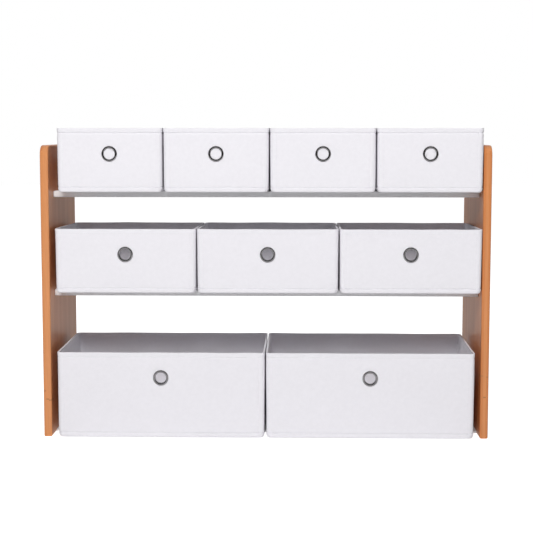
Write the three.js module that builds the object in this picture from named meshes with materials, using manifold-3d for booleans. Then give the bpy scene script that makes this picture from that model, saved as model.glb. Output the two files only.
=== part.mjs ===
// Open three-tier organiser: two laminated bamboo side panels, two white shelves, a thin
// white bottom panel and three low back rails, holding nine pull-out fabric bins.
// Millimetres. +X is to the right, +Y to the back, +Z up, and the open front faces -Y.

import * as THREE from 'three';
import { mergeVertices } from 'three/addons/utils/BufferGeometryUtils.js';
import Module from 'manifold-3d';

const wasm = await Module();
wasm.setup();

// ---- Sizes ---------------------------------------------------------------------------

const clearance = 0.3; // daylight kept between pieces that touch on the real object
const overcut = 1; // how far a cutter reaches past the face it opens

const unitWidth = 860;
const unitDepth = 300;
const panel = { thick: 16, corner: 20, edge: 3, aboveTopShelf: 89 };
const board = { thick: 12, setBack: 48, backInset: 4, edge: 1.5 };
const openHeight = { bottom: 266, middle: 181 }; // clear height of the two lower tiers
const bottomPanel = { thick: 4, edge: 0.6, rebate: 9 };
const rail = { thick: 15, height: 60, edge: 1.5 };

const innerWidth = unitWidth - 2 * panel.thick;
const middleShelfTop = bottomPanel.thick + openHeight.bottom + board.thick;
const topShelfTop = middleShelfTop + openHeight.middle + board.thick;
const unitHeight = topShelfTop + panel.aboveTopShelf;
const shelfTop = { middle: middleShelfTop, top: topShelfTop };
const boardBack = unitDepth - board.backInset;
const railFront = boardBack - rail.thick;

const bin = {
  rearRoom: 36, // from the rail to the back of a bin whose front is level with the panels
  wall: 3.5,
  floor: 1.5,
  corner: 8,
  taper: 0.8, // how much each side leans in from rim to foot
  between: 1.2, // space between neighbouring bins
  hem: 9, // height of the sewn hems at rim and foot
  hemProud: 0.5,
  hemStep: 1, // height over which a hem stands out from the plain cloth
  footRound: 3,
  rimRound: 1.2,
};
const tightestCorner = 1.5; // radius an upright corner keeps on the inside of a bin
const binDepth = railFront - bin.rearRoom;
const baseBoard = { thick: 3, slack: 1.2 };

const eyelet = {
  boreRadius: 10.3,
  barrelWall: 0.8,
  flangeWidth: 3.8,
  proud: 2,
  drop: 48.4, // from the rim down to the centre of the hole
  washerInset: 0.7, // how much smaller the washer is than the flange
  washerThick: 1,
  washerRound: 0.4,
  curlWidth: 1.3, // how far the tail is rolled out over the washer
  curlThick: 0.8,
  curlRound: 0.5,
};
const barrelRadius = eyelet.boreRadius + eyelet.barrelWall;
const flangeRadius = barrelRadius + eyelet.flangeWidth;
const washerRadius = flangeRadius - eyelet.washerInset;
const curlStart = clearance + eyelet.washerThick + clearance;
const eyeletInside = curlStart + eyelet.curlThick; // how far it stands out inside the bin

const confirmat = {
  length: panel.thick + 34, // the grip in the board's end is 34
  headRadius: 4.5,
  headHeight: 4,
  shankRadius: 2.5,
  socketRadius: 2,
  socketDepth: 3,
};
const smallScrew = {
  length: bottomPanel.thick + 10,
  headRadius: 3.2,
  headHeight: 2,
  shankRadius: 1.6,
  socketRadius: 1.1,
  socketDepth: 1.2,
};
const screwInset = 40; // from a board's front or back edge to its screws
const screwTip = 0.35; // radius of a screw's point as a share of its shank

// Each row of bins: how many, how tall, how far its fronts stand proud of the side panels,
// the loose space left beside it, and how far the row sits to the right of the centre.
const rows = [
  { name: 'top', count: 4, height: 121, proud: 14, slack: 20.4, shift: 8.6 },
  { name: 'middle', count: 3, height: 122.6, proud: 10, slack: 12.8, shift: 5.2 },
  { name: 'bottom', count: 2, height: 164.5, proud: 22, slack: 27.7, shift: 0.9 },
];
const rowFloor = {
  top: shelfTop.top,
  middle: shelfTop.middle,
  bottom: bottomPanel.thick,
};

const cornerSegments = 3;
const domeSegments = 6;
const ringSegments = 24;
const screwSegments = 12;
const panelCornerSegments = 8;
const boardEdgeSegments = 2;
const panelEdgeSegments = 3;
const roundMiddle = 1 - Math.SQRT1_2; // where a quarter round of radius 1 passes 45 degrees

// ---- Materials -----------------------------------------------------------------------

const finish = (color, roughness, metalness) =>
  new THREE.MeshStandardMaterial({ color, roughness, metalness });

const bamboo = finish(0xe3ad7c, 0.45, 0);
const whiteBoard = finish(0xeeeef0, 0.35, 0);
const whiteCloth = finish(0xf0eff3, 0.9, 0);
const liningCard = finish(0xe4e4e6, 0.85, 0);
const chromedBrass = finish(0xb9b9be, 0.2, 1);
const zincSteel = finish(0xa9abb0, 0.35, 1);

// ---- Solids --------------------------------------------------------------------------

function signedVolume(positions, index) {
  const [a, b, c] = [new THREE.Vector3(), new THREE.Vector3(), new THREE.Vector3()];
  let total = 0;
  for (let i = 0; i < index.length; i += 3) {
    a.fromArray(positions, 3 * index[i]);
    b.fromArray(positions, 3 * index[i + 1]);
    c.fromArray(positions, 3 * index[i + 2]);
    total += a.dot(b.cross(c));
  }
  return total / 6;
}

// Turns any closed three.js geometry into an outward-facing solid for booleans.
function solid(geometry) {
  const plain = new THREE.BufferGeometry();
  plain.setAttribute('position', geometry.attributes.position.clone());
  if (geometry.index) plain.setIndex(geometry.index.clone());
  const welded = mergeVertices(plain, 1e-4);
  const vertProperties = new Float32Array(welded.attributes.position.array);
  const triVerts = new Uint32Array(welded.index.array);
  if (signedVolume(vertProperties, triVerts) < 0) triVerts.reverse();
  return new wasm.Manifold(new wasm.Mesh({ numProp: 3, vertProperties, triVerts }));
}

function geometryOf(manifold) {
  const mesh = manifold.getMesh();
  const geometry = new THREE.BufferGeometry();
  geometry.setAttribute('position', new THREE.BufferAttribute(mesh.vertProperties, 3));
  geometry.setIndex(new THREE.BufferAttribute(mesh.triVerts, 1));
  return geometry;
}

// A rectangle in the YZ plane with its own radius at each corner, swept along X.
function sweptPlate({ x, y, z, corners, edge, segments }) {
  const [y0, y1] = y;
  const [z0, z1] = z;
  const [frontFoot, backFoot, backTop, frontTop] = corners;
  const outline = new THREE.Shape();
  outline.moveTo(y0 + frontFoot, z0);
  outline.lineTo(y1 - backFoot, z0);
  if (backFoot) outline.absarc(y1 - backFoot, z0 + backFoot, backFoot, -Math.PI / 2, 0);
  outline.lineTo(y1, z1 - backTop);
  if (backTop) outline.absarc(y1 - backTop, z1 - backTop, backTop, 0, Math.PI / 2);
  outline.lineTo(y0 + frontTop, z1);
  if (frontTop) outline.absarc(y0 + frontTop, z1 - frontTop, frontTop, Math.PI / 2, Math.PI);
  outline.lineTo(y0, z0 + frontFoot);
  if (frontFoot) outline.absarc(y0 + frontFoot, z0 + frontFoot, frontFoot, Math.PI, 1.5 * Math.PI);
  const plate = new THREE.ExtrudeGeometry(outline, {
    depth: x[1] - x[0] - 2 * edge,
    curveSegments: segments,
    bevelEnabled: edge > 0,
    bevelThickness: edge,
    bevelSize: edge,
    bevelOffset: -edge,
    bevelSegments: panelEdgeSegments,
  });
  // The sweep runs along +Z with the outline in XY; turn it so the outline lies in YZ.
  const turn = new THREE.Matrix4().makeBasis(
    new THREE.Vector3(0, 1, 0),
    new THREE.Vector3(0, 0, 1),
    new THREE.Vector3(1, 0, 0),
  );
  plate.applyMatrix4(turn);
  plate.translate(x[0] + edge, 0, 0);
  return plate;
}

function boxSolid(x, y, z) {
  const box = new THREE.BoxGeometry(x[1] - x[0], y[1] - y[0], z[1] - z[0]);
  box.translate((x[0] + x[1]) / 2, (y[0] + y[1]) / 2, (z[0] + z[1]) / 2);
  return solid(box);
}

// A closed profile of [radius, distance along +Y] pairs turned about the Y axis.
function turned(profile, segments) {
  const points = profile.map(([radius, along]) => new THREE.Vector2(radius, along));
  return new THREE.LatheGeometry(points, segments);
}

// ---- Screws --------------------------------------------------------------------------

// A screw lies along +Y from its head at the origin; `grow` fattens it into its own hole.
// The head's lower half is countersunk, and the point is two shank radii long.
function screwBody(size, grow) {
  const head = size.headRadius + grow;
  const shank = size.shankRadius + grow;
  const point = size.length + grow;
  return solid(turned([
    [0, -grow],
    [head, -grow],
    [head, size.headHeight * 0.5 + grow],
    [shank, size.headHeight + 2 * grow],
    [shank, point - 2 * size.shankRadius],
    [screwTip * shank, point],
    [0, point],
  ], screwSegments));
}

function hexSocket(size) {
  const hexagon = new THREE.CylinderGeometry(
    size.socketRadius, size.socketRadius, 2 * size.socketDepth, 6);
  return solid(hexagon);
}

// Puts a screw, or its hole, at `place` with its point aimed along `aim`.
function aimed(body, place, aim) {
  const turn = new THREE.Quaternion().setFromUnitVectors(new THREE.Vector3(0, 1, 0), aim);
  const matrix = new THREE.Matrix4().compose(place, turn, new THREE.Vector3(1, 1, 1));
  return body.transform(matrix.elements);
}

function screwAt({ size, place, aim }) {
  return aimed(screwBody(size, 0).subtract(hexSocket(size)), place, aim);
}

function screwHoleAt({ size, place, aim }) {
  return aimed(screwBody(size, clearance), place, aim);
}

const sides = [
  { name: 'left', sign: -1 },
  { name: 'right', sign: 1 },
];

const railFloor = {
  top: shelfTop.top + clearance,
  middle: shelfTop.middle + clearance,
  bottom: bottomPanel.thick + clearance,
};

function shelfScrews() {
  const depths = {
    front: board.setBack + screwInset,
    back: boardBack - screwInset,
  };
  const list = [];
  for (const level of ['top', 'middle']) {
    for (const side of sides) {
      for (const [where, y] of Object.entries(depths)) {
        list.push({
          name: `shelf_screw_${level}_${side.name}_${where}`,
          size: confirmat,
          place: new THREE.Vector3(
            side.sign * unitWidth / 2, y, shelfTop[level] - board.thick / 2),
          aim: new THREE.Vector3(-side.sign, 0, 0),
        });
      }
    }
  }
  return list;
}

function railScrews() {
  const list = [];
  for (const level of Object.keys(railFloor)) {
    for (const side of sides) {
      list.push({
        name: `rail_screw_${level}_${side.name}`,
        size: confirmat,
        place: new THREE.Vector3(
          side.sign * unitWidth / 2,
          boardBack - rail.thick / 2,
          railFloor[level] + rail.height / 2),
        aim: new THREE.Vector3(-side.sign, 0, 0),
      });
    }
  }
  return list;
}

function bottomScrews() {
  return sides.map((side) => ({
    name: `bottom_screw_${side.name}`,
    size: smallScrew,
    place: new THREE.Vector3(
      side.sign * (innerWidth / 2 + bottomPanel.rebate / 2),
      board.setBack + screwInset,
      clearance),
    aim: new THREE.Vector3(0, 0, 1),
  }));
}

const screws = [...shelfScrews(), ...railScrews(), ...bottomScrews()];

function withScrewHoles(body) {
  let drilled = body;
  for (const screw of screws) drilled = drilled.subtract(screwHoleAt(screw));
  return drilled;
}

// ---- Frame ---------------------------------------------------------------------------

// Side panel: a bamboo board with two rounded top corners, and a rebate along its foot
// that takes the edge of the bottom panel.
function sidePanel(side) {
  const outside = side.sign * unitWidth / 2;
  const inside = side.sign * innerWidth / 2;
  const x = [Math.min(outside, inside), Math.max(outside, inside)];
  const slab = solid(sweptPlate({
    x,
    y: [0, unitDepth],
    z: [0, unitHeight],
    corners: [0, 0, panel.corner, panel.corner],
    edge: panel.edge,
    segments: panelCornerSegments,
  }));
  const rebateEnd = inside + side.sign * bottomPanel.rebate;
  const rebateMouth = inside - side.sign * overcut;
  const rebate = boxSolid(
    [Math.min(rebateEnd, rebateMouth), Math.max(rebateEnd, rebateMouth)],
    [board.setBack - clearance, unitDepth + overcut],
    [-overcut, bottomPanel.thick + clearance]);
  return withScrewHoles(slab.subtract(rebate));
}

function crossBoard({ halfWidth, y, z, edge }) {
  return withScrewHoles(solid(sweptPlate({
    x: [-halfWidth, halfWidth],
    y,
    z,
    corners: [edge, edge, edge, edge],
    edge: 0,
    segments: boardEdgeSegments,
  })));
}

const shelf = (level) => crossBoard({
  halfWidth: innerWidth / 2 - clearance,
  y: [board.setBack, boardBack],
  z: [shelfTop[level] - board.thick, shelfTop[level]],
  edge: board.edge,
});

const thinBottom = () => crossBoard({
  halfWidth: innerWidth / 2 + bottomPanel.rebate - clearance,
  y: [board.setBack, boardBack],
  z: [0, bottomPanel.thick],
  edge: bottomPanel.edge,
});

const backRail = (level) => crossBoard({
  halfWidth: innerWidth / 2 - clearance,
  y: [railFront, boardBack],
  z: [railFloor[level], railFloor[level] + rail.height],
  edge: rail.edge,
});

// ---- Bins ----------------------------------------------------------------------------

// One level loop of a box with rounded upright corners, drawn `inset` inside its outline.
function cornerLoop({ x, y, z, inset, corner }) {
  const radius = Math.max(corner - inset, tightestCorner);
  const xs = [x[0] + inset + radius, x[1] - inset - radius];
  const ys = [y[0] + inset + radius, y[1] - inset - radius];
  const centres = [[xs[1], ys[1]], [xs[0], ys[1]], [xs[0], ys[0]], [xs[1], ys[0]]];
  const loop = [];
  centres.forEach(([cx, cy], quarter) => {
    for (let step = 0; step <= cornerSegments; step += 1) {
      const angle = (quarter + step / cornerSegments) * Math.PI / 2;
      loop.push([cx + radius * Math.cos(angle), cy + radius * Math.sin(angle), z]);
    }
  });
  return loop;
}

// Skins a stack of equal loops and closes its first and last loop with a flat cap.
function lofted(loops) {
  const count = loops[0].length;
  const positions = loops.flat(2);
  const index = [];
  for (let level = 0; level + 1 < loops.length; level += 1) {
    for (let i = 0; i < count; i += 1) {
      const next = (i + 1) % count;
      const [a, b] = [level * count + i, level * count + next];
      index.push(a, b, b + count, a, b + count, a + count);
    }
  }
  const lid = (loops.length - 1) * count;
  for (let i = 1; i + 1 < count; i += 1) {
    index.push(0, i + 1, i);
    index.push(lid, lid + i, lid + i + 1);
  }
  const geometry = new THREE.BufferGeometry();
  geometry.setAttribute('position', new THREE.Float32BufferAttribute(positions, 3));
  geometry.setIndex(index);
  return geometry;
}

function binPlaces() {
  const list = [];
  for (const row of rows) {
    const rowWidth = innerWidth - row.slack;
    const width = (rowWidth - (row.count - 1) * bin.between) / row.count;
    for (let i = 0; i < row.count; i += 1) {
      const left = row.shift - rowWidth / 2 + i * (width + bin.between);
      list.push({
        name: `${row.name}_${i + 1}`,
        x: [left, left + width],
        y: [-row.proud, binDepth - row.proud],
        foot: rowFloor[row.name] + clearance,
        height: row.height,
      });
    }
  }
  return list;
}

// The level loop of one bin at height `up` above its foot: its two sides and its back
// lean in towards the foot, and its front stands upright.
function binLoop(place, up, inset) {
  const lean = bin.taper * (1 - up / place.height);
  return cornerLoop({
    x: [place.x[0] + lean, place.x[1] - lean],
    y: [place.y[0], place.y[1] - lean],
    z: place.foot + up,
    inset,
    corner: bin.corner,
  });
}

// Where the eyelet's axis meets the plain cloth of the bin's front wall.
function eyeletSeat(place) {
  return new THREE.Vector3(
    (place.x[0] + place.x[1]) / 2,
    place.y[0] + bin.hemProud,
    place.foot + place.height - eyelet.drop);
}

// Cloth bin stiffened with card: soft foot, hems at rim and foot, and an open top.
function binShell(place) {
  const { height } = place;
  const { footRound, rimRound, hem, hemStep, hemProud } = bin;
  const outside = [
    [0, footRound],
    [roundMiddle * footRound, roundMiddle * footRound],
    [footRound, 0],
    [hem - hemStep, 0],
    [hem, hemProud],
    [height - hem, hemProud],
    [height - hem + hemStep, 0],
    [height - rimRound, 0],
    [height, rimRound],
  ];
  const inside = [
    [height, bin.wall - rimRound / 2],
    [height - rimRound, bin.wall + hemProud],
    [bin.floor, bin.wall + hemProud],
  ];
  const loops = [...outside, ...inside].map(([up, inset]) => binLoop(place, up, inset));
  const fingerHole = new THREE.CylinderGeometry(
    barrelRadius + clearance, barrelRadius + clearance,
    bin.wall + 6 * overcut, ringSegments);
  const seat = eyeletSeat(place);
  fingerHole.translate(seat.x, seat.y + bin.wall / 2, seat.z);
  return solid(lofted(loops)).subtract(solid(fingerHole));
}

// Loose base board that lies flat in the bin and keeps its floor square. Its front edge is
// cut back so that it passes the eyelet when it is lifted out.
function binBaseBoard(place) {
  const low = bin.floor + clearance;
  const inset = bin.wall + bin.hemProud + baseBoard.slack;
  const cut = { ...place, y: [place.y[0] + eyeletInside, place.y[1]] };
  return lofted([
    binLoop(cut, low, inset),
    binLoop(cut, low + baseBoard.thick, inset),
  ]);
}

// The eyelet's face, half round across its width: from the outer edge over to the bore.
function eyeletDome() {
  const middle = (flangeRadius + eyelet.boreRadius) / 2;
  const half = (flangeRadius - eyelet.boreRadius) / 2;
  const rise = eyelet.proud - clearance;
  const points = [];
  for (let step = 0; step <= domeSegments; step += 1) {
    const angle = step / domeSegments * Math.PI;
    points.push([middle + half * Math.cos(angle), -clearance - rise * Math.sin(angle)]);
  }
  return points;
}

// Front half of the eyelet: a domed flange, a barrel through the wall and a curled tail.
function eyeletFront(place) {
  const { boreRadius, curlWidth, curlThick, curlRound } = eyelet;
  const tail = bin.wall + curlStart;
  const end = tail + curlThick;
  const ring = turned([
    [boreRadius, -clearance],
    [boreRadius, end - curlRound],
    [boreRadius + curlRound, end],
    [barrelRadius + curlWidth, end],
    [barrelRadius + curlWidth, tail],
    [barrelRadius, tail],
    [barrelRadius, -clearance],
    ...eyeletDome(),
  ], ringSegments);
  const seat = eyeletSeat(place);
  return ring.translate(seat.x, seat.y, seat.z);
}

// Back half of the eyelet: the washer that the tail is curled over.
function eyeletWasher(place) {
  const near = bin.wall + clearance;
  const far = near + eyelet.washerThick;
  const innerRadius = barrelRadius + clearance;
  const ring = turned([
    [innerRadius, near],
    [washerRadius, near],
    [washerRadius, far - eyelet.washerRound],
    [washerRadius - eyelet.washerRound, far],
    [innerRadius, far],
    [innerRadius, near],
  ], ringSegments);
  const seat = eyeletSeat(place);
  return ring.translate(seat.x, seat.y, seat.z);
}

// ---- Assembly ------------------------------------------------------------------------

const organiser = new THREE.Group();
organiser.name = 'bin_organiser';

function add(name, body, material) {
  const manifold = body instanceof THREE.BufferGeometry ? solid(body) : body;
  const mesh = new THREE.Mesh(geometryOf(manifold), material);
  mesh.name = name;
  organiser.add(mesh);
}

for (const side of sides) add(`side_panel_${side.name}`, sidePanel(side), bamboo);
for (const level of ['top', 'middle']) add(`shelf_${level}`, shelf(level), whiteBoard);
add('bottom_panel', thinBottom(), whiteBoard);
for (const level of Object.keys(railFloor)) {
  add(`back_rail_${level}`, backRail(level), whiteBoard);
}
for (const screw of screws) add(screw.name, screwAt(screw), zincSteel);
for (const place of binPlaces()) {
  add(`bin_${place.name}`, binShell(place), whiteCloth);
  add(`base_board_${place.name}`, binBaseBoard(place), liningCard);
  add(`eyelet_${place.name}`, eyeletFront(place), chromedBrass);
  add(`eyelet_washer_${place.name}`, eyeletWasher(place), chromedBrass);
}

// The object's frame has its origin at the centre of the base of its overall box.
const overall = new THREE.Box3().setFromObject(organiser);
const centre = overall.getCenter(new THREE.Vector3());
for (const mesh of organiser.children) {
  mesh.geometry.translate(-centre.x, -centre.y, -overall.min.z);
}

export default organiser;
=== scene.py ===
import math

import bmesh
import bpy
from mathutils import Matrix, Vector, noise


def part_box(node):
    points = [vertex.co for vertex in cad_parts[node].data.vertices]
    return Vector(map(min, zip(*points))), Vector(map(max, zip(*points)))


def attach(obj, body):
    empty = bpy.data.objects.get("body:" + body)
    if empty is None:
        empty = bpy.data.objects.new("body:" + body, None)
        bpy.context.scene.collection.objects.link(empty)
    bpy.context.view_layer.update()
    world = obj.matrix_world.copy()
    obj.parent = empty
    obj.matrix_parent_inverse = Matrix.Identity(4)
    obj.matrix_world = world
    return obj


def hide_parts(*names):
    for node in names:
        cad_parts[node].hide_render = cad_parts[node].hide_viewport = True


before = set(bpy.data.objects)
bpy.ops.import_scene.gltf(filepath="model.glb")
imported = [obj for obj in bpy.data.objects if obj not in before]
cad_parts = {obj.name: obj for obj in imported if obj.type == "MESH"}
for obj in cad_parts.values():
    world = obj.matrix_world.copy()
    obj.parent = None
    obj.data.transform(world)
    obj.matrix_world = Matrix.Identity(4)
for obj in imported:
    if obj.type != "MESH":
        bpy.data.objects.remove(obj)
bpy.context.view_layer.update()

# %% [markdown]
# # An open bin organiser
# Two bamboo side panels carry two white shelves. Nine white cloth bins stand in three rows,
# and each one is pulled out by a metal eyelet. The frame gives every position: each piece
# below starts from the box of the solid it stands for.

MM = 0.001
SAME_PLACE = 0.05 * MM  # points closer than this count as level or in line
rows = {"top": 4, "middle": 3, "bottom": 2}
bin_names = [f"{row}_{i + 1}" for row, count in rows.items() for i in range(count)]
print("bins:", bin_names)

# %% [markdown]
# ## Camera
# The organiser is seen almost square on from a little above, with a long lens, so that the
# uprights stay upright. The camera stands 2.5 m in front of the side panels.

# %% Camera
front_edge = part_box("side_panel_left")[0].y
scene = bpy.context.scene


def place_camera():
    data = bpy.data.cameras.new("camera")
    data.sensor_width = 36
    data.lens = 89.9
    camera = bpy.data.objects.new("camera", data)
    camera.location = (0.0664, front_edge - 2.532, 0.589)
    down = math.radians(5.77)
    turn_left = math.radians(1.44)
    camera.rotation_euler = (math.pi / 2 - down, 0, turn_left)
    scene.collection.objects.link(camera)
    scene.camera = camera


place_camera()
print("camera at", [round(v, 3) for v in scene.camera.location])

# %% [markdown]
# ## Helpers for materials
# Colours are written as sRGB hex, as a colour chart gives them, and one function turns them
# to the linear values that the shader works in. One small function adds a node.


# %% Colour and nodes
def hex_colour(text):
    channels = [int(text[i:i + 2], 16) / 255 for i in (0, 2, 4)]
    linear = [c / 12.92 if c <= 0.04045 else ((c + 0.055) / 1.055) ** 2.4 for c in channels]
    return (*linear, 1)


def add_node(tree, kind, inputs=None, **settings):
    made = tree.nodes.new(kind)
    for name, value in settings.items():
        setattr(made, name, value)
    for name, value in (inputs or {}).items():
        if isinstance(value, bpy.types.NodeSocket):
            tree.links.new(value, made.inputs[name])
        else:
            made.inputs[name].default_value = value
    return made


def math_node(tree, operation, first, second=0, third=0):
    node = add_node(tree, "ShaderNodeMath", {0: first, 1: second, 2: third}, operation=operation)
    return node.outputs[0]


def new_material(name):
    material = bpy.data.materials.new(name)
    material.use_nodes = True
    tree = material.node_tree
    return material, tree, tree.nodes["Principled BSDF"]


def set_ramp(ramp, stops):
    elements = ramp.color_ramp.elements
    while len(elements) < len(stops):
        elements.new(1)
    for element, (position, colour) in zip(elements, stops):
        element.position = position
        element.color = hex_colour(colour)


# %% [markdown]
# ## Laminated bamboo
# Bamboo board is glued up from split strips. Flat strips about 20 mm wide run up the face, and
# the edge shows three plies of slightly different tone. Each strip carries fine dark fibres
# along its length, and a thin line where the stalk had a knuckle. The boards are sealed with
# clear satin lacquer, which gives a soft sheen and keeps the honey colour.


# %% Laminated bamboo
PLY = 16 / 3 * MM
STRIP = 20 * MM
STAGGER = 0.4  # of a strip, from one ply to the next
KNUCKLE_SPACING = 600 * MM
# These three are shares of that spacing.
KNUCKLE_PLACE = 0.235
KNUCKLE_WIDTH = 0.002
KNUCKLE_SPREAD = 0.12  # from strip to strip


def laminated_bamboo():
    material, tree, shader = new_material("laminated_bamboo")
    place = add_node(tree, "ShaderNodeTexCoord").outputs["Object"]
    axes = add_node(tree, "ShaderNodeSeparateXYZ", {"Vector": place}).outputs
    inner_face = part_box("side_panel_right")[0].x
    from_centre = math_node(tree, "ABSOLUTE", axes["X"])
    depth = math_node(tree, "SUBTRACT", from_centre, inner_face)
    ply_number = math_node(tree, "FLOOR", math_node(tree, "DIVIDE", depth, PLY))
    strips = math_node(tree, "DIVIDE", axes["Y"], STRIP)
    staggered = math_node(tree, "MULTIPLY_ADD", ply_number, STAGGER, strips)
    which = add_node(tree, "ShaderNodeCombineXYZ", {
        "X": math_node(tree, "FLOOR", staggered), "Y": ply_number,
        "Z": math_node(tree, "SIGN", axes["X"])})
    chance = add_node(tree, "ShaderNodeTexWhiteNoise", {"Vector": which.outputs[0]})
    tone = add_node(tree, "ShaderNodeValToRGB", {"Fac": chance.outputs["Value"]})
    set_ramp(tone, [(0, "D7864F"), (0.5, "DC8D55"), (1, "E49A64")])

    # Fibres are 1 mm across and about 50 mm long.
    fibre_place = add_node(tree, "ShaderNodeMapping", {"Vector": place, "Scale": (1000, 1000, 20)})
    fibres = add_node(tree, "ShaderNodeTexNoise", {
        "Vector": fibre_place.outputs[0], "Scale": 1, "Detail": 3, "Roughness": 0.6})
    fibre_tone = add_node(tree, "ShaderNodeMapRange", {
        "Value": fibres.outputs["Fac"], "From Min": 0.35, "From Max": 0.7,
        "To Min": 0.9, "To Max": 1.05})
    fibred = add_node(tree, "ShaderNodeVectorMath", {
        0: tone.outputs["Color"], 1: fibre_tone.outputs[0]}, operation="MULTIPLY")

    # Knuckles come every 600 mm of stalk, and the strips are cut so that one falls near the
    # foot of the panel, at a different height in every strip.
    stalk = math_node(tree, "DIVIDE", axes["Z"], KNUCKLE_SPACING)
    shifted = math_node(tree, "MULTIPLY_ADD", chance.outputs["Value"], KNUCKLE_SPREAD, stalk)
    on_knuckle = math_node(tree, "COMPARE", math_node(tree, "FRACT", shifted),
                           KNUCKLE_PLACE, KNUCKLE_WIDTH)
    knuckled = add_node(tree, "ShaderNodeMix", {
        0: on_knuckle, 6: fibred.outputs[0], 7: hex_colour("BE7C4C")},
        data_type="RGBA")
    tree.links.new(knuckled.outputs[2], shader.inputs["Base Color"])

    relief = add_node(tree, "ShaderNodeBump", {
        "Height": fibres.outputs["Fac"], "Strength": 0.12, "Distance": 0.2 * MM})
    tree.links.new(relief.outputs[0], shader.inputs["Normal"])
    shader.inputs["Roughness"].default_value = 0.33
    shader.inputs["IOR"].default_value = 1.47
    return material


bamboo = laminated_bamboo()
print("material", bamboo.name)

# %% [markdown]
# ## White melamine board
# The shelves are fibreboard faced with white melamine paper, pressed against a fine-grained
# plate. It looks like smooth white plastic with a very shallow orange-peel texture.


# %% White melamine board
def white_melamine():
    material, tree, shader = new_material("white_melamine_board")
    place = add_node(tree, "ShaderNodeTexCoord").outputs["Object"]
    # The press plate's grain is about 1.5 mm across.
    grain = add_node(tree, "ShaderNodeTexNoise", {"Vector": place, "Scale": 650, "Detail": 2})
    clouds = add_node(tree, "ShaderNodeTexNoise", {"Vector": place, "Scale": 9, "Detail": 3})
    tone = add_node(tree, "ShaderNodeValToRGB", {"Fac": clouds.outputs["Fac"]})
    set_ramp(tone, [(0.3, "EDEDEF"), (0.7, "F3F3F4")])
    relief = add_node(tree, "ShaderNodeBump", {
        "Height": grain.outputs["Fac"], "Strength": 0.08, "Distance": 0.1 * MM})
    gloss = add_node(tree, "ShaderNodeMapRange", {
        "Value": grain.outputs["Fac"], "To Min": 0.3, "To Max": 0.42})
    tree.links.new(tone.outputs["Color"], shader.inputs["Base Color"])
    tree.links.new(relief.outputs[0], shader.inputs["Normal"])
    tree.links.new(gloss.outputs[0], shader.inputs["Roughness"])
    shader.inputs["IOR"].default_value = 1.5
    return material


melamine = white_melamine()
print("material", melamine.name)

# %% [markdown]
# ## Spunbonded cloth
# The bins are covered in white spunbonded polypropylene, the matt felt-like cloth of shopping
# bags. Heated rollers weld its fibres at a grid of tiny points, and the web between them is
# slightly cloudy. The weld grid is 1.6 mm, a little coarser than real, so that it can be seen.


# %% Spunbonded cloth
WELD = 1.6 * MM


def spunbonded_cloth():
    material, tree, shader = new_material("spunbonded_cloth")
    flat = add_node(tree, "ShaderNodeUVMap", uv_map="cloth").outputs[0]
    place = add_node(tree, "ShaderNodeTexCoord").outputs["Object"]
    turns = add_node(tree, "ShaderNodeVectorMath", {0: flat, "Scale": 2 * math.pi / WELD},
                     operation="SCALE")
    along = add_node(tree, "ShaderNodeSeparateXYZ", {"Vector": turns.outputs[0]}).outputs
    wave_u = math_node(tree, "SINE", along["X"])
    wave_v = math_node(tree, "SINE", along["Y"])
    dots = math_node(tree, "MULTIPLY", wave_u, wave_v)
    web = add_node(tree, "ShaderNodeTexNoise", {"Vector": place, "Scale": 420, "Detail": 4})
    height = math_node(tree, "MULTIPLY_ADD", dots, 0.25, web.outputs["Fac"])
    relief = add_node(tree, "ShaderNodeBump", {
        "Height": height, "Strength": 0.12, "Distance": 0.1 * MM})
    clouds = add_node(tree, "ShaderNodeTexNoise", {"Vector": place, "Scale": 160, "Detail": 4})
    tone = add_node(tree, "ShaderNodeValToRGB", {"Fac": clouds.outputs["Fac"]})
    set_ramp(tone, [(0.3, "F1EFF4"), (0.7, "F4F2F7")])
    tree.links.new(tone.outputs["Color"], shader.inputs["Base Color"])
    tree.links.new(relief.outputs[0], shader.inputs["Normal"])
    shader.inputs["Roughness"].default_value = 0.9
    shader.inputs["IOR"].default_value = 1.49
    shader.inputs["Specular IOR Level"].default_value = 0.3
    shader.inputs["Sheen Weight"].default_value = 0.08
    shader.inputs["Sheen Roughness"].default_value = 0.5
    return material


cloth = spunbonded_cloth()
print("material", cloth.name)

# %% [markdown]
# ## Sewing thread
# The seams are lockstitched in white polyester thread. Thread is shinier than the cloth and
# its twist shows as slanted ridges about half a millimetre apart, with painted shade
# darkening the grooves between the ridges.


# %% Sewing thread
def polyester_thread():
    material, tree, shader = new_material("polyester_thread")
    place = add_node(tree, "ShaderNodeTexCoord").outputs["Object"]
    twist_and_groove_shade = add_node(tree, "ShaderNodeTexWave", {"Vector": place, "Scale": 320, "Distortion": 1},
                     wave_type="BANDS", bands_direction="DIAGONAL")
    # Painted shade: the colour darkens in the grooves, along the same bands as the relief.
    tone = add_node(tree, "ShaderNodeValToRGB", {"Fac": twist_and_groove_shade.outputs["Fac"]})
    set_ramp(tone, [(0, "D9D9DE"), (1, "F4F4F7")])
    relief = add_node(tree, "ShaderNodeBump", {
        "Height": twist_and_groove_shade.outputs["Fac"], "Strength": 0.4, "Distance": 0.08 * MM})
    tree.links.new(tone.outputs["Color"], shader.inputs["Base Color"])
    tree.links.new(relief.outputs[0], shader.inputs["Normal"])
    shader.inputs["Roughness"].default_value = 0.55
    shader.inputs["IOR"].default_value = 1.57
    return material


thread = polyester_thread()
print("material", thread.name)

# %% [markdown]
# ## Nickel-plated brass
# Eyelets are stamped from brass strip and nickel plated in a tumbling drum, which leaves a
# bright surface with very fine rubbed marks. Nickel is a slightly warm grey.


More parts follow.
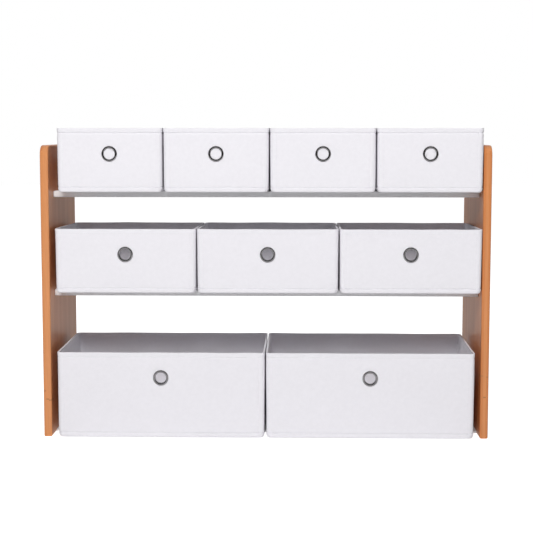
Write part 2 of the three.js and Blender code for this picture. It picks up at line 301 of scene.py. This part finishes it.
# %% Nickel plate
def nickel_plate():
    material, tree, shader = new_material("nickel_plated_brass")
    place = add_node(tree, "ShaderNodeTexCoord").outputs["Object"]
    # Tumbling marks are 0.5 mm long.
    rubbed = add_node(tree, "ShaderNodeTexNoise", {"Vector": place, "Scale": 2000, "Detail": 2})
    patches = add_node(tree, "ShaderNodeTexNoise", {"Vector": place, "Scale": 180, "Detail": 2})
    gloss = add_node(tree, "ShaderNodeMapRange", {
        "Value": patches.outputs["Fac"], "To Min": 0.1, "To Max": 0.22})
    tone = add_node(tree, "ShaderNodeValToRGB", {"Fac": patches.outputs["Fac"]})
    set_ramp(tone, [(0.3, "949294"), (0.7, "A4A2A4")])
    relief = add_node(tree, "ShaderNodeBump", {
        "Height": rubbed.outputs["Fac"], "Strength": 0.05, "Distance": 0.02 * MM})
    tree.links.new(tone.outputs["Color"], shader.inputs["Base Color"])
    tree.links.new(gloss.outputs[0], shader.inputs["Roughness"])
    tree.links.new(relief.outputs[0], shader.inputs["Normal"])
    shader.inputs["Metallic"].default_value = 1
    return material


nickel = nickel_plate()
print("material", nickel.name)

# %% [markdown]
# ## Zinc-plated steel
# The frame screws are zinc plated: paler and duller than nickel, with a faint spangle.


# %% Zinc plate
def zinc_plate():
    material, tree, shader = new_material("zinc_plated_steel")
    place = add_node(tree, "ShaderNodeTexCoord").outputs["Object"]
    spangle = add_node(tree, "ShaderNodeTexVoronoi", {"Vector": place, "Scale": 900})
    tone = add_node(tree, "ShaderNodeValToRGB", {"Fac": spangle.outputs["Color"]})
    set_ramp(tone, [(0.2, "A3A5A9"), (0.8, "BABCC0")])
    gloss = add_node(tree, "ShaderNodeMapRange", {
        "Value": spangle.outputs["Distance"], "To Min": 0.28, "To Max": 0.42})
    tree.links.new(tone.outputs["Color"], shader.inputs["Base Color"])
    tree.links.new(gloss.outputs[0], shader.inputs["Roughness"])
    shader.inputs["Metallic"].default_value = 1
    return material


zinc = zinc_plate()
print("material", zinc.name)

# %% [markdown]
# ## Finishing a piece
# Every new piece is a bmesh that becomes an object at the origin, gets its material, stands
# for a solid of the frame, and rides on that solid's body.


# %% Finish a piece
def finished(bm, name, material, body, stands_for=(), sharp=35):
    mesh = bpy.data.meshes.new(name)
    bm.to_mesh(mesh)
    bm.free()
    mesh.materials.append(material)
    mesh.shade_smooth()
    mesh.set_sharp_from_angle(angle=math.radians(sharp))
    piece = bpy.data.objects.new(name, mesh)
    scene.collection.objects.link(piece)
    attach(piece, body)
    if stands_for:
        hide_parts(*stands_for)
    return piece


# %% [markdown]
# ## Side panels
# The panels keep the solid model's shape, with its screw holes and rebate. A copy is merged
# into one skin and its flat parts are joined, so that the eased edges shade as one curve.


# %% Side panels
def side_panel(side):
    node = f"side_panel_{side}"
    bm = bmesh.new()
    bm.from_mesh(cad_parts[node].data)
    bmesh.ops.remove_doubles(bm, verts=bm.verts, dist=0.001 * MM)
    bmesh.ops.dissolve_limit(bm, verts=bm.verts, edges=bm.edges, angle_limit=math.radians(0.5))
    panel = finished(bm, f"bamboo_{node}", bamboo, "frame", [node])
    weighted = panel.modifiers.new("even_shading", "WEIGHTED_NORMAL")
    weighted.keep_sharp = True
    return panel


for side in ("left", "right"):
    panel = side_panel(side)
    print(panel.name, len(panel.data.polygons), "faces")

# %% [markdown]
# ## Shelves, bottom panel and rails
# Each white board is a plain board with softly rounded edges. A cube takes the size of its
# solid, and the bevel operator rounds it.


# %% White boards
BOARD_EDGE = 1.6 * MM
THIN_EDGE = 0.6 * MM


def white_board(node, round_edge):
    low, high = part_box(node)
    bm = bmesh.new()
    bmesh.ops.create_cube(bm, size=1)
    bmesh.ops.scale(bm, vec=high - low, verts=bm.verts)
    bmesh.ops.translate(bm, vec=(low + high) / 2, verts=bm.verts)
    bmesh.ops.bevel(bm, geom=bm.edges, offset=round_edge, affect="EDGES", segments=3,
                    profile=0.5, material=-1)
    return finished(bm, f"board_{node}", melamine, "frame", [node], sharp=60)


for node in ("shelf_top", "shelf_middle", "back_rail_top", "back_rail_middle", "back_rail_bottom"):
    white_board(node, BOARD_EDGE)
white_board("bottom_panel", THIN_EDGE)
print("white boards done")

# %% [markdown]
# ## Screws
# The screws' own solids are right, down to the hexagon sockets, so they only take a material.

# %% Screws
screws = [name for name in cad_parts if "_screw_" in name]
for name in screws:
    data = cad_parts[name].data
    data.materials.clear()
    data.materials.append(zinc)
print(len(screws), "screws")

# %% [markdown]
# ## Cloth bins
# A real bin is sewn from cloth pockets with card slipped in, so its walls are flat but not
# stiff: they swell and dip by about a millimetre, lean in towards the foot, and turn soft
# corners. Hems run round the rim and the foot, and a seam closes the pocket near each upright
# edge. The outer cloth is one sheet: a cube with rounded uprights and foot, cut into a fine
# grid, settled a little, and given its thickness by a Solidify modifier.

# %% Bin sizes
HEM = 9 * MM
HEM_PROUD = 0.5 * MM
WALL = 3.5 * MM
SEAM_HALF = 0.7 * MM  # half the width of a seam's groove
SEAM_DEPTH = 1.2 * MM
SIDE_SEAM = 12 * MM
SIDE_SEAM_DEPTH = 0.45 * MM
LEAN = 0.8 * MM
UPRIGHT_ROUND = 8 * MM
FOOT_ROUND = 2.5 * MM
FOOT_PINCH = 2.5 * MM
RIM_FOLD = 1.1 * MM
FLOOR_SHARE = 0.4  # of the walls' thickness
BROAD_SWELL, BROAD_SPREAD = 0.6 * MM, 85 * MM
FINE_SWELL, FINE_SPREAD = 0.15 * MM, 30 * MM
RIM_SAG, SAG_SPREAD = 0.7 * MM, 60 * MM
CALM_RING = 20 * MM  # the cloth lies flat this far round the eyelet's patch
CALM_FOOT = 1 / 8  # of the height: the cloth lies flat there too
GRID = 12 * MM
HOLE = 11.3 * MM  # radius
PATCH = 16 * MM  # half the square of wall that is cut finely round the hole
rim_rise_at_back = {"top": 0, "middle": -3.5 * MM, "bottom": 2 * MM}
rim_seam_depth = {"top": 1, "middle": 0.15, "bottom": 0.35}


# %% The plain box of a bin, open at the top
def open_box(low, high):
    bm = bmesh.new()
    bmesh.ops.create_cube(bm, size=1)
    bmesh.ops.scale(bm, vec=high - low, verts=bm.verts)
    bmesh.ops.translate(bm, vec=(low + high) / 2, verts=bm.verts)
    uprights = [e for e in bm.edges if abs(e.verts[0].co.z - e.verts[1].co.z) > HEM]
    bmesh.ops.bevel(bm, geom=uprights, offset=UPRIGHT_ROUND, affect="EDGES", segments=5,
                    profile=0.5, material=-1)
    top = [f for f in bm.faces if f.normal.z > 0.9]
    bmesh.ops.delete(bm, geom=top, context="FACES")
    foot = [e for e in bm.edges if all(v.co.z < low.z + MM for v in e.verts)]
    bmesh.ops.bevel(bm, geom=foot, offset=FOOT_ROUND, affect="EDGES", segments=3,
                    profile=0.5, material=-1)
    return bm


# %% Cutting the sheet into a grid
def cut_lines(start, end, fixed, spacing=GRID):
    """Places between start and end at about the spacing, with the fixed ones among them."""
    stops = sorted([start, end, *fixed])
    lines = list(fixed)
    for a, b in zip(stops, stops[1:]):
        steps = max(1, round((b - a) / spacing))
        lines += [a + (b - a) * i / steps for i in range(1, steps)]
    return lines


def cut_across(bm, axis, places):
    normal = Vector([float(i == axis) for i in range(3)])
    for place in places:
        bmesh.ops.bisect_plane(bm, geom=bm.verts[:] + bm.edges[:] + bm.faces[:],
                               dist=0.01 * MM, plane_co=normal * place, plane_no=normal)


def seam_lines(place):
    return [place - SEAM_HALF, place, place + SEAM_HALF]


# %% The finger hole
def finger_hole(bm, eye, front):
    """Takes out a square of the front wall and turns what is left to a round hole."""
    square = []
    for face in bm.faces:
        middle = face.calc_center_median()
        near = abs(middle.x - eye.x) < PATCH and abs(middle.z - eye.z) < PATCH
        if near and middle.y < front + MM:
            square.append(face)
    bmesh.ops.delete(bm, geom=square, context="FACES")
    border = []
    for edge in bm.edges:
        middle = (edge.verts[0].co + edge.verts[1].co) / 2
        if edge.is_boundary and middle.z < eye.z + 2 * PATCH and middle.y < front + MM:
            border.append(edge)
    lie_in_wall = Matrix.Translation((eye.x, front, eye.z)) @ Matrix.Rotation(math.pi / 2, 4, "X")
    circle = bmesh.ops.create_circle(bm, segments=len(border), radius=HOLE, matrix=lie_in_wall)
    rim = list({e for v in circle["verts"] for e in v.link_edges})
    bmesh.ops.bridge_loops(bm, edges=border + rim)


# %% How the cloth settles
def smooth_step(value):
    value = min(max(value, 0), 1)
    return value * value * (3 - 2 * value)


def settle(bm, low, high, eye, back_rise, rim_seam):
    """Leans the walls in, swells and dips them, and pulls the seams down and the hems out."""
    bm.normal_update()
    height = high.z - low.z
    middle = (low + high) / 2
    moved = []
    for vert in bm.verts:
        place = vert.co
        up = (place.z - low.z) / height
        on_wall = 1 - abs(vert.normal.z)
        on_front = vert.normal.y < -0.5
        from_eye = math.hypot(place.x - eye.x, place.z - eye.z) if on_front else math.inf
        calm = smooth_step((from_eye - PATCH) / CALM_RING) * smooth_step(up / CALM_FOOT)
        broad = BROAD_SWELL * noise.noise(place / BROAD_SPREAD)
        fine = FINE_SWELL * noise.noise(place / FINE_SPREAD + Vector((7, 3, 5)))
        swell = (broad + fine) * calm * on_wall
        to_rim = high.z - place.z
        to_foot = place.z - low.z
        if to_rim < HEM:
            swell += rim_seam * HEM_PROUD * on_wall
        if to_foot < HEM:
            swell += HEM_PROUD * on_wall
        if abs(to_rim - HEM) < SAME_PLACE:
            swell -= rim_seam * SEAM_DEPTH
        if abs(to_foot - HEM) < SAME_PLACE:
            swell -= SEAM_DEPTH
        lean = LEAN * (1 - up)
        into = Vector(((middle.x - place.x) / (high.x - middle.x) * lean, 0, 0))
        if place.y > middle.y:
            into.y = -(place.y - middle.y) / (high.y - middle.y) * lean
        pinch = FOOT_PINCH * max(0, 1 - to_foot / HEM) ** 2
        if abs(place.x - middle.x) > (high.x - middle.x) - HEM:
            into.x += math.copysign(pinch, middle.x - place.x)
        back = smooth_step((place.y - low.y) / (high.y - low.y))
        sag = RIM_SAG * noise.noise(Vector((place.x, place.y, 0)) / SAG_SPREAD)
        lift = Vector((0, 0, (back_rise * back + sag) * smooth_step(up)))
        moved.append(place + vert.normal * swell + into + lift)
    for vert, place in zip(bm.verts, moved):
        vert.co = place


# %% Cloth coordinates for the weld grid
def lay_out_cloth(bm):
    """Gives each face flat coordinates in metres, so the cloth's pattern keeps its size."""
    layer = bm.loops.layers.uv.new("cloth")
    for face in bm.faces:
        level = abs(face.normal.z) > 0.7
        for loop in face.loops:
            place = loop.vert.co
            loop[layer].uv = (place.x, place.y) if level else (place.x + place.y, place.z)


# %% [markdown]
# ## Stitches
# A seam is a row of short stitches, 3 mm long with a 1 mm gap, in thread 0.6 mm thick. Each
# stitch is a small faceted bead pressed into the cloth along the line of the seam.


# %% Walk along a seam
STITCH_SPACING = 4 * MM
STITCH_LENGTH = 3 * MM
THREAD = 0.6 * MM


def walk(points, spacing):
    """Yields evenly spaced places along a line of points, each with the line's direction."""
    travelled = spacing / 2
    for a, b in zip(points, points[1:]):
        length = (b - a).length
        while travelled < length:
            yield a.lerp(b, travelled / length), (b - a).normalized()
            travelled += spacing
        travelled -= length


def add_stitches(bm, points):
    size = Matrix.Diagonal((STITCH_LENGTH / 2, THREAD / 2, THREAD / 2, 1))
    for place, direction in walk(points, STITCH_SPACING):
        turn = direction.to_track_quat("X", "Z").to_matrix().to_4x4()
        bmesh.ops.create_icosphere(bm, subdivisions=1, radius=1,
                                   matrix=Matrix.Translation(place) @ turn @ size)


# %% One bin
def make_bin(name):
    row = name.split("_")[0]
    low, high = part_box(f"bin_{name}")
    ring_low, ring_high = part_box(f"eyelet_{name}")
    eye = (ring_low + ring_high) / 2
    plain = Vector((HEM_PROUD, HEM_PROUD, 0))
    front = low.y + HEM_PROUD
    bm = open_box(low + plain, high - plain)

    eye_x = [eye.x + PATCH * i / 4 for i in range(-4, 5)]
    eye_z = [eye.z + PATCH * i / 4 for i in range(-4, 5)]
    side_seams = seam_lines(low.x + SIDE_SEAM) + seam_lines(high.x - SIDE_SEAM)
    hems = seam_lines(low.z + HEM) + seam_lines(high.z - HEM)
    corner = UPRIGHT_ROUND + 2 * MM
    cut_across(bm, 0, cut_lines(low.x + corner, high.x - corner, eye_x + side_seams))
    cut_across(bm, 1, cut_lines(low.y + corner, high.y - corner, []))
    cut_across(bm, 2, cut_lines(low.z + 2 * FOOT_ROUND + MM, high.z, eye_z + hems))
    finger_hole(bm, eye, front)

    seams = {}
    middle = (low + high) / 2
    for label, level in (("foot", low.z + HEM), ("rim", high.z - HEM)):
        ring = [v for v in bm.verts if abs(v.co.z - level) < SAME_PLACE]
        ring.sort(key=lambda v: math.atan2(v.co.y - middle.y, v.co.x - middle.x))
        seams[label] = ring + ring[:1]
    for label, across in (("left", low.x + SIDE_SEAM), ("right", high.x - SIDE_SEAM)):
        line = [v for v in bm.verts if abs(v.co.x - across) < SAME_PLACE
                and v.co.y < front + MM and low.z + HEM <= v.co.z <= high.z - HEM]
        seams[label] = sorted(line, key=lambda v: v.co.z)
    for label in ("left", "right"):
        for vert in seams[label]:
            vert.co.y += SIDE_SEAM_DEPTH

    settle(bm, low, high, eye, rim_rise_at_back[row], rim_seam_depth[row])
    lay_out_cloth(bm)
    sewing = bmesh.new()
    for line in seams.values():
        add_stitches(sewing, [v.co.copy() for v in line])

    body = f"bin_{name}"
    piece = finished(bm, f"cloth_bin_{name}", cloth, body, [body], sharp=180)
    floor_group = piece.vertex_groups.new(name="thickness")
    for vert in piece.data.vertices:
        on_floor = vert.co.z < low.z + MM
        floor_group.add([vert.index], FLOOR_SHARE if on_floor else 1, "REPLACE")
    thick = piece.modifiers.new("card_and_cloth", "SOLIDIFY")
    thick.thickness = WALL
    thick.offset = -1
    thick.vertex_group = floor_group.name
    fold = piece.modifiers.new("folded_rim", "BEVEL")
    fold.width = RIM_FOLD
    fold.segments = 2
    fold.limit_method = "ANGLE"
    fold.angle_limit = math.radians(70)
    soft = piece.modifiers.new("soft_cloth", "SUBSURF")
    soft.levels = 1
    soft.render_levels = 1
    finished(sewing, f"stitching_{name}", thread, body)
    return piece


for name in bin_names:
    piece = make_bin(name)
    print(piece.name, len(piece.data.polygons), "faces before thickness")

# %% [markdown]
# ## Base boards
# A loose card wrapped in the same cloth keeps each floor flat. The card's edge is thin and
# rounded, and the board crowns by about a millimetre in the middle.


# %% Base boards
CARD_CORNER = 4 * MM
CARD_EDGE = 1.2 * MM
CARD_GRID = 20 * MM
CARD_CROWN = 0.8 * MM
CARD_RIPPLE, RIPPLE_SPREAD = 0.25 * MM, 50 * MM


def base_board(name):
    node = f"base_board_{name}"
    low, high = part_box(node)
    bm = bmesh.new()
    bmesh.ops.create_cube(bm, size=1)
    bmesh.ops.scale(bm, vec=high - low, verts=bm.verts)
    bmesh.ops.translate(bm, vec=(low + high) / 2, verts=bm.verts)
    uprights = [e for e in bm.edges if abs(e.verts[0].co.z - e.verts[1].co.z) > MM]
    bmesh.ops.bevel(bm, geom=uprights, offset=CARD_CORNER, affect="EDGES", segments=4,
                    profile=0.5, material=-1)
    outline = [e for e in bm.edges if abs(e.verts[0].co.z - e.verts[1].co.z) < SAME_PLACE]
    bmesh.ops.bevel(bm, geom=outline, offset=CARD_EDGE, affect="EDGES", segments=2,
                    profile=0.5, material=-1)
    cut_across(bm, 0, cut_lines(low.x, high.x, [], CARD_GRID))
    cut_across(bm, 1, cut_lines(low.y, high.y, [], CARD_GRID))
    for vert in bm.verts:
        across = (vert.co.x - low.x) / (high.x - low.x)
        along = (vert.co.y - low.y) / (high.y - low.y)
        crown = math.sin(math.pi * across) * math.sin(math.pi * along)
        if vert.co.z > (low.z + high.z) / 2:
            ripple = CARD_RIPPLE * noise.noise(vert.co / RIPPLE_SPREAD)
            vert.co.z += (CARD_CROWN + ripple) * crown
    lay_out_cloth(bm)
    return finished(bm, f"cloth_{node}", cloth, node, [node], sharp=60)


for name in bin_names:
    base_board(name)
print(len(bin_names), "base boards")

# %% [markdown]
# ## Eyelets
# Each eyelet is two stamped rings. The front one is a domed flange with a barrel that passes
# through the wall; its tail is rolled over the back washer. Both are a profile spun round
# the hole's axis, and the profile's corners are rounded before it is spun.


# %% Spinning a ring
FLANGE_WIDTH = 3.8 * MM
FLANGE_RISE = 1.8 * MM
BARREL_WALL = 0.8 * MM
CURL_WIDTH = 1.3 * MM
CURL_THICK = 0.8 * MM
CURL_ROUND = 0.4 * MM
WASHER_GAP = 0.3 * MM
PROFILE_ROUND = 0.12 * MM
CREST_FLATNESS = 0.6  # 1 gives a plain half round
RING_STEPS = 72


def spun_ring(profile, eye):
    """Spins a closed profile of (radius, y) pairs round the axis through eye along Y."""
    bm = bmesh.new()
    verts = [bm.verts.new((eye.x + radius, y, eye.z)) for radius, y in profile]
    for a, b in zip(verts, verts[1:] + verts[:1]):
        bm.edges.new((a, b))
    bmesh.ops.bevel(bm, geom=verts, offset=PROFILE_ROUND, affect="VERTICES", segments=2,
                    profile=0.5, material=-1)
    bmesh.ops.spin(bm, geom=bm.verts[:] + bm.edges[:], cent=eye, axis=(0, 1, 0),
                   angle=2 * math.pi, steps=RING_STEPS, use_merge=True)
    bmesh.ops.remove_doubles(bm, verts=bm.verts, dist=0.001 * MM)
    bmesh.ops.recalc_face_normals(bm, faces=bm.faces)
    return bm


# %% Eyelets
def half_round(inner, outer, low, high, steps=10):
    """Points from the outer radius at high over a flattened crest at low to the inner radius."""
    middle = (inner + outer) / 2
    half = (outer - inner) / 2
    turns = [math.pi * i / steps for i in range(steps + 1)]
    rises = [(high - low) * abs(math.sin(t)) ** CREST_FLATNESS for t in turns]
    return [(middle + half * math.cos(t), high - rise) for t, rise in zip(turns, rises)]


def eyelet(name):
    low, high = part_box(f"eyelet_{name}")
    washer_low, washer_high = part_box(f"eyelet_washer_{name}")
    eye = (low + high) / 2
    flange = (high.x - low.x) / 2
    bore = flange - FLANGE_WIDTH - BARREL_WALL
    barrel = flange - FLANGE_WIDTH
    curl = barrel + CURL_WIDTH
    curl_front = high.y - CURL_THICK
    flange_back = low.y + FLANGE_RISE
    ring = [
        (bore, high.y - CURL_ROUND), (bore + CURL_ROUND, high.y), (curl, high.y),
        (curl, curl_front), (barrel, curl_front), (barrel, flange_back),
        *half_round(bore, flange, low.y, flange_back),
    ]
    washer = (washer_high.x - washer_low.x) / 2
    back = [
        (barrel + WASHER_GAP, washer_low.y), (washer, washer_low.y),
        (washer, washer_high.y - CURL_ROUND), (washer - CURL_ROUND, washer_high.y),
        (barrel + WASHER_GAP, washer_high.y),
    ]
    body = f"bin_{name}"
    finished(spun_ring(ring, eye), f"ring_{name}", nickel, body,
             [f"eyelet_{name}"], sharp=50)
    finished(spun_ring(back, eye), f"ring_back_{name}", nickel,
             body, [f"eyelet_washer_{name}"], sharp=50)


for name in bin_names:
    eyelet(name)
print(len(bin_names), "eyelets")

# %% [markdown]
# ## Studio
# The organiser stands on a white sweep that glows a little from below, as a light table does,
# so that the ground stays white. One large soft light hangs in front and above: the bins shade
# their own insides and the shelf edges below them. The surroundings give a weak fill.


# %% Floor
def light_table():
    bm = bmesh.new()
    bmesh.ops.create_grid(bm, x_segments=1, y_segments=1, size=12)
    mesh = bpy.data.meshes.new("floor")
    bm.to_mesh(mesh)
    bm.free()
    material, tree, shader = new_material("white_sweep")
    shader.inputs["Base Color"].default_value = hex_colour("F2F2F2")
    shader.inputs["Roughness"].default_value = 0.9
    shader.inputs["Emission Color"].default_value = hex_colour("FFFFFF")
    paths = add_node(tree, "ShaderNodeLightPath")
    glow = add_node(tree, "ShaderNodeMapRange", {
        "Value": paths.outputs["Is Camera Ray"], "To Min": 0.11, "To Max": 0.87})
    tree.links.new(glow.outputs[0], shader.inputs["Emission Strength"])
    mesh.materials.append(material)
    floor = bpy.data.objects.new("floor", mesh)
    scene.collection.objects.link(floor)


light_table()


# %% Lights
def soft_light(name, place, target, size, power):
    data = bpy.data.lights.new(name, "AREA")
    data.shape = "DISK"
    data.size = size
    data.energy = power
    lamp = bpy.data.objects.new(name, data)
    lamp.location = place
    lamp.rotation_euler = (Vector(target) - Vector(place)).to_track_quat("-Z", "Y").to_euler()
    lamp.visible_glossy = False
    scene.collection.objects.link(lamp)


soft_light("key", (-0.25, -3.35, 2.65), (0, 0, 0.25), 1.1, 106)
soft_light("back", (-0.8, 2.6, 2.2), (0, 0, 0.3), 1.2, 16)


# %% Black flag
def black_flag():
    """A black card in front, seen only in reflections, that draws dark edges on bright metal."""
    bm = bmesh.new()
    bmesh.ops.create_grid(bm, x_segments=1, y_segments=1, size=3)
    bmesh.ops.rotate(bm, verts=bm.verts, matrix=Matrix.Rotation(math.pi / 2, 3, "X"))
    bmesh.ops.translate(bm, verts=bm.verts, vec=(0, -3.6, 0.6))
    mesh = bpy.data.meshes.new("black_flag")
    bm.to_mesh(mesh)
    bm.free()
    material, tree, shader = new_material("black_velvet")
    shader.inputs["Base Color"].default_value = hex_colour("101010")
    shader.inputs["Roughness"].default_value = 1
    mesh.materials.append(material)
    flag = bpy.data.objects.new("black_flag", mesh)
    flag.visible_camera = False
    flag.visible_diffuse = False
    flag.visible_shadow = False
    scene.collection.objects.link(flag)


black_flag()


# %% Surroundings
def surroundings():
    world = bpy.data.worlds.new("studio")
    world.use_nodes = True
    tree = world.node_tree
    paths = add_node(tree, "ShaderNodeLightPath")
    strength = add_node(tree, "ShaderNodeMapRange", {
        "Value": paths.outputs["Is Camera Ray"], "To Min": 0.13, "To Max": 1.0})
    with_gloss = math_node(tree, "MULTIPLY_ADD", paths.outputs["Is Glossy Ray"], 0.6,
                           strength.outputs[0])
    tree.nodes["Background"].inputs["Color"].default_value = hex_colour("FFFFFF")
    tree.links.new(with_gloss, tree.nodes["Background"].inputs["Strength"])
    scene.world = world
    scene.view_settings.view_transform = "Standard"


surroundings()
